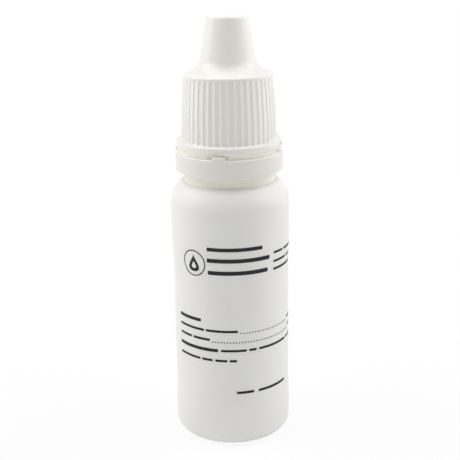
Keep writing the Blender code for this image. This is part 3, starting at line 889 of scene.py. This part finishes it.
def bar(baseline, line_height, thickness, start, end):
    """Ink strip of a plain bar with rounded corners, along the middle of a line of print."""
    middle = baseline + line_height / 2
    straight = end - start - 2 * INK_ROUND
    count = max(2, round(straight / INK_STEP))
    places = [start + INK_ROUND * share for share in INK_CORNER_SHARES]
    places += [start + INK_ROUND + straight * k / count for k in range(count + 1)]
    places += [end - INK_ROUND * share for share in INK_CORNER_SHARES[::-1]]
    sections = []
    for place in places:
        inset = clamp(1 - min(place - start, end - place) / INK_ROUND)
        half = thickness / 2 - INK_ROUND * (1 - (1 - inset**2) ** 0.5)
        sections.append(((place, middle - half), (place, middle + half)))
    return ink_strip(sections, False)


def printed(name, strips, material):
    """One piece of print from its strips of ink."""
    points, faces = [], []
    for strip_points, strip_faces in strips:
        faces += [tuple(corner + len(points) for corner in face) for face in strip_faces]
        points += strip_points
    return shown(name, points, faces, material)


def bars(table):
    """Ink strips for a table of bars in millimetres."""
    return [bar(*(value * MM for value in row)) for row in table]


def leaders(table):
    """Rows of dots that lead from one column of the list to the next."""
    strips = []
    for baseline, start, end in table:
        count = round((end - start) * MM / LEADER_PITCH)
        for k in range(count):
            place = start * MM + LEADER_PITCH * k
            strips.append(bar(baseline * MM, LEADER_DOT, LEADER_DOT, place, place + LEADER_DOT))
    return strips


def in_emblem(across, up):
    """Arc length and height of a place counted from the emblem's centre."""
    return EMBLEM_ARC + across, EMBLEM_HEIGHT + up


def emblem():
    """A plain hollow drop in a circle, where the heading has its emblem."""
    circle, drop = [], []
    inner = EMBLEM_RADIUS - EMBLEM_LINE
    sunk = DROP_SIZE * (1 - DROP_HOLLOW_SHARE) / 3
    for k in range(EMBLEM_STEPS):
        turn = TURN * k / EMBLEM_STEPS
        circle.append((
            in_emblem(EMBLEM_RADIUS * sin(turn), EMBLEM_RADIUS * cos(turn)),
            in_emblem(inner * sin(turn), inner * cos(turn)),
        ))
        across = DROP_SIZE * DROP_WIDTH_SHARE * sin(turn) * sin(turn / 2) ** 2
        up = DROP_SIZE * cos(turn)
        drop.append((
            in_emblem(across, up),
            in_emblem(across * DROP_HOLLOW_SHARE, up * DROP_HOLLOW_SHARE - sunk),
        ))
    return [ink_strip(circle, True), ink_strip(drop, True)]


# Materials: each range holds the two ends of a noise or of the pointiness between which a mask fades in
CLOUDS_PER_MM = 0.16
CLOUD_DETAIL = 2
CLOUD_RANGE = (0.35, 0.65)
PEEL_DETAIL = 1
GLOSS_PATCHES_PER_MM = 0.9
GLOSS_DETAIL = 3
GLOSS_RANGE = (0.3, 0.7)
SCRATCH_STRETCH = (1, 1, 0.12)
SCRATCH_TILT = (0.5, 0.35, 0)
SCRATCHES_PER_MM = 3.2
SCRATCH_DETAIL = 2
SCRATCH_RANGE = (0.6, 0.72)
SCUFF_PATCHES_PER_MM = 0.22
SCUFF_PATCH_DETAIL = 2
SCUFF_PATCH_RANGE = (0.48, 0.62)
EDGE_RANGE = (0.51, 0.56)
SCUFF_ROUGHNESS = 0.12
POLISH_ROUGHNESS = -0.08
BUMP_DISTANCE = 0.02 * MM
DEPTH_COLOURS = (1.0, 0.93, 0.8)
PLASTIC_IOR = 1.5


def node_group(name, inputs, outputs):
    """Shader node group with named sockets, with its entry and its exit."""
    group = bpy.data.node_groups.new(name, "ShaderNodeTree")
    for label, kind in inputs:
        group.interface.new_socket(name=label, in_out="INPUT", socket_type=kind)
    for label, kind in outputs:
        group.interface.new_socket(name=label, in_out="OUTPUT", socket_type=kind)
    entry = group.nodes.new("NodeGroupInput")
    leaving = group.nodes.new("NodeGroupOutput")
    return group, entry, leaving


def feed(tree, socket, value):
    """Links a socket to another one, or sets it to a number."""
    if isinstance(value, (int, float)):
        socket.default_value = value
    else:
        tree.links.new(value, socket)


def noise(tree, place, scale, detail):
    """Noise on a place vector, with a scale socket or value."""
    texture = tree.nodes.new("ShaderNodeTexNoise")
    texture.inputs["Detail"].default_value = detail
    tree.links.new(place, texture.inputs["Vector"])
    feed(tree, texture.inputs["Scale"], scale)
    return texture.outputs["Fac"]


def spread(tree, value, low, high, to_low, to_high):
    """A value mapped from one range to another, whose ends are sockets or numbers."""
    node = tree.nodes.new("ShaderNodeMapRange")
    tree.links.new(value, node.inputs["Value"])
    feed(tree, node.inputs["From Min"], low)
    feed(tree, node.inputs["From Max"], high)
    feed(tree, node.inputs["To Min"], to_low)
    feed(tree, node.inputs["To Max"], to_high)
    return node.outputs["Result"]


def calculated(tree, operation, one, two):
    """The result of a Math node on two sockets or numbers."""
    node = tree.nodes.new("ShaderNodeMath")
    node.operation = operation
    feed(tree, node.inputs[0], one)
    feed(tree, node.inputs[1], two)
    return node.outputs[0]


def mixed_colour(tree, share, one, two):
    """One colour blended into another by a share."""
    node = tree.nodes.new("ShaderNodeMix")
    node.data_type = "RGBA"
    tree.links.new(share, node.inputs["Factor"])
    tree.links.new(one, node.inputs["A"])
    tree.links.new(two, node.inputs["B"])
    return node.outputs["Result"]


def millimetres(group):
    """The object's own coordinates in millimetres."""
    place = group.nodes.new("ShaderNodeTexCoord")
    scale = group.nodes.new("ShaderNodeVectorMath")
    scale.operation = "SCALE"
    scale.inputs["Scale"].default_value = 1 / MM
    group.links.new(place.outputs["Object"], scale.inputs[0])
    return scale.outputs["Vector"]


def moulded_skin_group():
    """Skin of a moulded plastic: clouds of a second colour, uneven gloss, and a fine orange peel."""
    group, entry, leaving = node_group(
        "moulded_skin",
        [
            ("Colour", "NodeSocketColor"),
            ("Cloud Colour", "NodeSocketColor"),
            ("Clouds per mm", "NodeSocketFloat"),
            ("Peel per mm", "NodeSocketFloat"),
            ("Low Roughness", "NodeSocketFloat"),
            ("High Roughness", "NodeSocketFloat"),
        ],
        [
            ("Colour", "NodeSocketColor"),
            ("Roughness", "NodeSocketFloat"),
            ("Height", "NodeSocketFloat"),
        ],
    )
    place = millimetres(group)
    clouds = noise(group, place, entry.outputs["Clouds per mm"], CLOUD_DETAIL)
    share = spread(group, clouds, *CLOUD_RANGE, 0, 1)
    colour = mixed_colour(group, share, entry.outputs["Colour"], entry.outputs["Cloud Colour"])
    peel = noise(group, place, entry.outputs["Peel per mm"], PEEL_DETAIL)
    dull = noise(group, place, GLOSS_PATCHES_PER_MM, GLOSS_DETAIL)
    low, high = entry.outputs["Low Roughness"], entry.outputs["High Roughness"]
    roughness = spread(group, dull, *GLOSS_RANGE, low, high)
    group.links.new(colour, leaving.inputs["Colour"])
    group.links.new(roughness, leaving.inputs["Roughness"])
    group.links.new(peel, leaving.inputs["Height"])
    return group


def handling_group():
    """Marks of handling: fine scuffs all round, and a soft polish along edges. Both are masks."""
    group, entry, leaving = node_group(
        "handling",
        [("Scuffs", "NodeSocketFloat"), ("Polish", "NodeSocketFloat")],
        [("Scuffs", "NodeSocketFloat"), ("Polish", "NodeSocketFloat")],
    )
    place = millimetres(group)
    stretched = group.nodes.new("ShaderNodeMapping")
    stretched.inputs["Scale"].default_value = SCRATCH_STRETCH
    stretched.inputs["Rotation"].default_value = SCRATCH_TILT
    group.links.new(place, stretched.inputs["Vector"])
    scratch = noise(group, stretched.outputs["Vector"], SCRATCHES_PER_MM, SCRATCH_DETAIL)
    patch = noise(group, place, SCUFF_PATCHES_PER_MM, SCUFF_PATCH_DETAIL)
    scuffs = spread(group, scratch, *SCRATCH_RANGE, 0, 1)
    patches = spread(group, patch, *SCUFF_PATCH_RANGE, 0, 1)
    scuffs = calculated(group, "MULTIPLY", scuffs, patches)
    scuffs = calculated(group, "MULTIPLY", scuffs, entry.outputs["Scuffs"])
    shape = group.nodes.new("ShaderNodeNewGeometry")
    edges = spread(group, shape.outputs["Pointiness"], *EDGE_RANGE, 0, 1)
    polish = calculated(group, "MULTIPLY", edges, entry.outputs["Polish"])
    group.links.new(scuffs, leaving.inputs["Scuffs"])
    group.links.new(polish, leaving.inputs["Polish"])
    return group


# Looks of a plastic or ink: roughness from low to high; glow and depth are subsurface weight and scale
Finish = namedtuple("Finish", "name colour clouds roughness peel bump scuffs polish shine glow depth")

BOTTLE_FINISH = Finish(
    name="bottle_polyethylene",
    colour=(0.86, 0.853, 0.825), clouds=(0.85, 0.842, 0.81), roughness=(0.40, 0.47),
    peel=1.6, bump=0.12, scuffs=0.5, polish=0.3, shine=0.5, glow=0.25, depth=0.8 * MM,
)
CAP_FINISH = Finish(
    name="cap_polypropylene",
    colour=(0.88, 0.87, 0.83), clouds=(0.872, 0.861, 0.815), roughness=(0.20, 0.26),
    peel=2.4, bump=0.05, scuffs=0.35, polish=0.4, shine=0.5, glow=0.15, depth=0.5 * MM,
)
# Painted shade: the cap's plastic made darker for the tamper ring, standing for the dimmer light on the
# ring's front and sides.
SHADED_RING_FINISH = CAP_FINISH._replace(
    name="ring_polypropylene_painted_shade",
    colour=(0.83, 0.82, 0.783), clouds=(0.822, 0.811, 0.769),
)
# Painted light: a lighter, warmer plastic for the shaded faces in the slot, the notches, the ring's
# top, bore and rim, and the collar under the ring. It is a painted glow that stands for light shining
# through the translucent plastic into these places.
GLOW_PAINTED_FINISH = Finish(
    name="glow_painted_plastic",
    colour=(0.97, 0.952, 0.875), clouds=(0.965, 0.945, 0.86), roughness=(0.30, 0.36),
    peel=2.4, bump=0.05, scuffs=0.0, polish=0.0, shine=0.5, glow=0.0, depth=0.5 * MM,
)
DROPPER_FINISH = Finish(
    name="dropper_polyethylene",
    colour=(0.86, 0.855, 0.835), clouds=(0.85, 0.843, 0.82), roughness=(0.32, 0.38),
    peel=1.8, bump=0.06, scuffs=0.2, polish=0.3, shine=0.5, glow=0.15, depth=0.8 * MM,
)
INK_FINISH = Finish(
    name="printing_ink",
    colour=(0.010, 0.012, 0.013), clouds=(0.018, 0.021, 0.022), roughness=(0.45, 0.58),
    peel=6.0, bump=0.1, scuffs=0.2, polish=0.0, shine=0.25, glow=0.0, depth=0.1 * MM,
)


def plastic(finish, skin, handling):
    """Material from a finish, with the shared groups for its skin and its handling."""
    material = bpy.data.materials.new(finish.name)
    material.use_nodes = True
    tree = material.node_tree
    shader = tree.nodes["Principled BSDF"]
    surface = tree.nodes.new("ShaderNodeGroup")
    surface.node_tree = skin
    surface.inputs["Colour"].default_value = (*finish.colour, 1)
    surface.inputs["Cloud Colour"].default_value = (*finish.clouds, 1)
    surface.inputs["Clouds per mm"].default_value = CLOUDS_PER_MM
    surface.inputs["Peel per mm"].default_value = finish.peel
    surface.inputs["Low Roughness"].default_value = finish.roughness[0]
    surface.inputs["High Roughness"].default_value = finish.roughness[1]
    marks = tree.nodes.new("ShaderNodeGroup")
    marks.node_tree = handling
    marks.inputs["Scuffs"].default_value = finish.scuffs
    marks.inputs["Polish"].default_value = finish.polish
    scuffed = calculated(tree, "MULTIPLY", marks.outputs["Scuffs"], SCUFF_ROUGHNESS)
    polished = calculated(tree, "MULTIPLY", marks.outputs["Polish"], POLISH_ROUGHNESS)
    change = calculated(tree, "ADD", scuffed, polished)
    roughness = calculated(tree, "ADD", surface.outputs["Roughness"], change)
    bump = tree.nodes.new("ShaderNodeBump")
    bump.inputs["Strength"].default_value = finish.bump
    bump.inputs["Distance"].default_value = BUMP_DISTANCE
    tree.links.new(surface.outputs["Height"], bump.inputs["Height"])
    tree.links.new(surface.outputs["Colour"], shader.inputs["Base Color"])
    tree.links.new(roughness, shader.inputs["Roughness"])
    tree.links.new(bump.outputs["Normal"], shader.inputs["Normal"])
    shader.inputs["Metallic"].default_value = 0
    shader.inputs["IOR"].default_value = PLASTIC_IOR
    shader.inputs["Specular IOR Level"].default_value = finish.shine
    shader.inputs["Subsurface Weight"].default_value = finish.glow
    shader.inputs["Subsurface Radius"].default_value = DEPTH_COLOURS
    shader.inputs["Subsurface Scale"].default_value = finish.depth
    return material


def seen_share(tree):
    """1 where the camera, a reflection or glass looks, 0 for the light that falls on things."""
    path = tree.nodes.new("ShaderNodeLightPath")
    seen = calculated(tree, "MAXIMUM", path.outputs["Is Camera Ray"], path.outputs["Is Glossy Ray"])
    return calculated(tree, "MAXIMUM", seen, path.outputs["Is Transmission Ray"])


def floor_paper():
    """White floor that shows as white to the camera and still takes the bottle's shadow."""
    material = bpy.data.materials.new("floor_paper")
    material.use_nodes = True
    tree = material.node_tree
    tree.nodes.clear()
    matte = tree.nodes.new("ShaderNodeBsdfDiffuse")
    matte.inputs["Color"].default_value = FLOOR_COLOUR
    glow = tree.nodes.new("ShaderNodeEmission")
    place = tree.nodes.new("ShaderNodeTexCoord")
    away = tree.nodes.new("ShaderNodeVectorMath")
    away.operation = "LENGTH"
    tree.links.new(place.outputs["Object"], away.inputs[0])
    distance = away.outputs["Value"]
    share = spread(tree, distance, FLOOR_GLOW_NEAR, FLOOR_GLOW_FAR, FLOOR_GLOW_SHARE, 1)
    share = calculated(tree, "MULTIPLY", seen_share(tree), share)
    blend = tree.nodes.new("ShaderNodeMixShader")
    end = tree.nodes.new("ShaderNodeOutputMaterial")
    tree.links.new(share, blend.inputs[0])
    tree.links.new(matte.outputs[0], blend.inputs[1])
    tree.links.new(glow.outputs[0], blend.inputs[2])
    tree.links.new(blend.outputs[0], end.inputs["Surface"])
    return material


# Surroundings


def studio_floor():
    """A wide plain floor under the bottle."""
    half = FLOOR_SIZE / 2
    mesh = bpy.data.meshes.new("studio_floor")
    corners = [(-half, -half, 0), (half, -half, 0), (half, half, 0), (-half, half, 0)]
    mesh.from_pydata(corners, [], [(0, 1, 2, 3)])
    mesh.materials.append(floor_paper())
    plane = bpy.data.objects.new("studio_floor", mesh)
    bpy.context.scene.collection.objects.link(plane)


def studio_world():
    """Plain even light, and white wherever the camera or a reflection looks."""
    world = bpy.data.worlds.new("studio")
    bpy.context.scene.world = world
    world.use_nodes = True
    tree = world.node_tree
    background = tree.nodes["Background"]
    background.inputs["Color"].default_value = (1, 1, 1, 1)
    level = spread(tree, seen_share(tree), 0, 1, WORLD_LEVEL, 1)
    tree.links.new(level, background.inputs["Strength"])


def panel_light(name, azimuth, elevation, width, height, power):
    """Soft panel that faces the bottle from an azimuth round it and an elevation."""
    lamp = bpy.data.lights.new(name, "AREA")
    lamp.shape = "RECTANGLE"
    lamp.size = width
    lamp.size_y = height
    lamp.energy = power
    middle = Vector((0, 0, TOWER_TOP / 2))
    away = at(PANEL_DISTANCE * cos(elevation), azimuth, PANEL_DISTANCE * sin(elevation))
    light = bpy.data.objects.new(name, lamp)
    light.location = middle + Vector(away)
    light.rotation_euler = (middle - light.location).to_track_quat("-Z", "Y").to_euler()
    bpy.context.scene.collection.objects.link(light)


def studio_lights():
    """Soft panels round the bottle."""
    for name, azimuth, elevation, width, height, power in STUDIO_PANELS:
        panel_light(name, radians(azimuth), radians(elevation), width, height, power)


def camera():
    """The photograph's camera."""
    lens = bpy.data.cameras.new("camera")
    lens.lens = CAMERA_LENS
    lens.sensor_fit = "HORIZONTAL"
    lens.sensor_width = SENSOR_WIDTH
    lens.clip_start = CAMERA_NEAR
    viewer = bpy.data.objects.new("camera", lens)
    tilt = Matrix.Rotation(pi / 2 - CAMERA_PITCH, 4, "X")
    roll = Matrix.Rotation(CAMERA_ROLL, 4, "Z")
    viewer.matrix_world = Matrix.Translation(CAMERA_PLACE) @ tilt @ roll
    bpy.context.scene.collection.objects.link(viewer)
    bpy.context.scene.camera = viewer


def keep(piece, body, slot, *nodes):
    """Sets what a piece rides on and hides the frame's nodes that it stands for. The slot of its finish
    is not used.
    """
    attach(piece, body)
    if nodes:
        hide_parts(*nodes)


def main():
    skin, handling = moulded_skin_group(), handling_group()
    cap_plastic = plastic(CAP_FINISH, skin, handling)
    # The lighter, warmer plastic for shaded faces: a painted glow of light through the plastic
    glow_painted_plastic = plastic(GLOW_PAINTED_FINISH, skin, handling)
    ink = plastic(INK_FINISH, skin, handling)
    bottle_plastic = plastic(BOTTLE_FINISH, skin, handling)
    dropper_plastic = plastic(DROPPER_FINISH, skin, handling)
    # The ring's plastic is the cap's, painted darker: painted shade
    shaded_ring_plastic = plastic(SHADED_RING_FINISH, skin, handling)
    keep(bottle_shell(bottle_plastic, glow_painted_plastic), "bottle", "bottle", "bottle_body")
    keep(dropper_nozzle(dropper_plastic), "bottle", "dropper", "dropper_insert")
    keep(tamper_band(shaded_ring_plastic, glow_painted_plastic), "ring", "cap", "tamper_ring")
    keep(screw_cap(cap_plastic, glow_painted_plastic), "closure", "cap", "cap")
    keep(printed("print_heading", bars(HEADING_BARS), ink), "bottle", "print")
    keep(printed("print_emblem", emblem(), ink), "bottle", "print")
    keep(printed("print_side_lines", bars(SIDE_BARS), ink), "bottle", "print")
    keep(printed("print_list", bars(LIST_BARS) + leaders(LEADERS), ink), "bottle", "print")
    keep(printed("print_use_line", bars(USE_BARS), ink), "bottle", "print")
    studio_floor()
    studio_world()
    studio_lights()
    camera()
    bpy.context.scene.view_settings.view_transform = "Standard"


main()
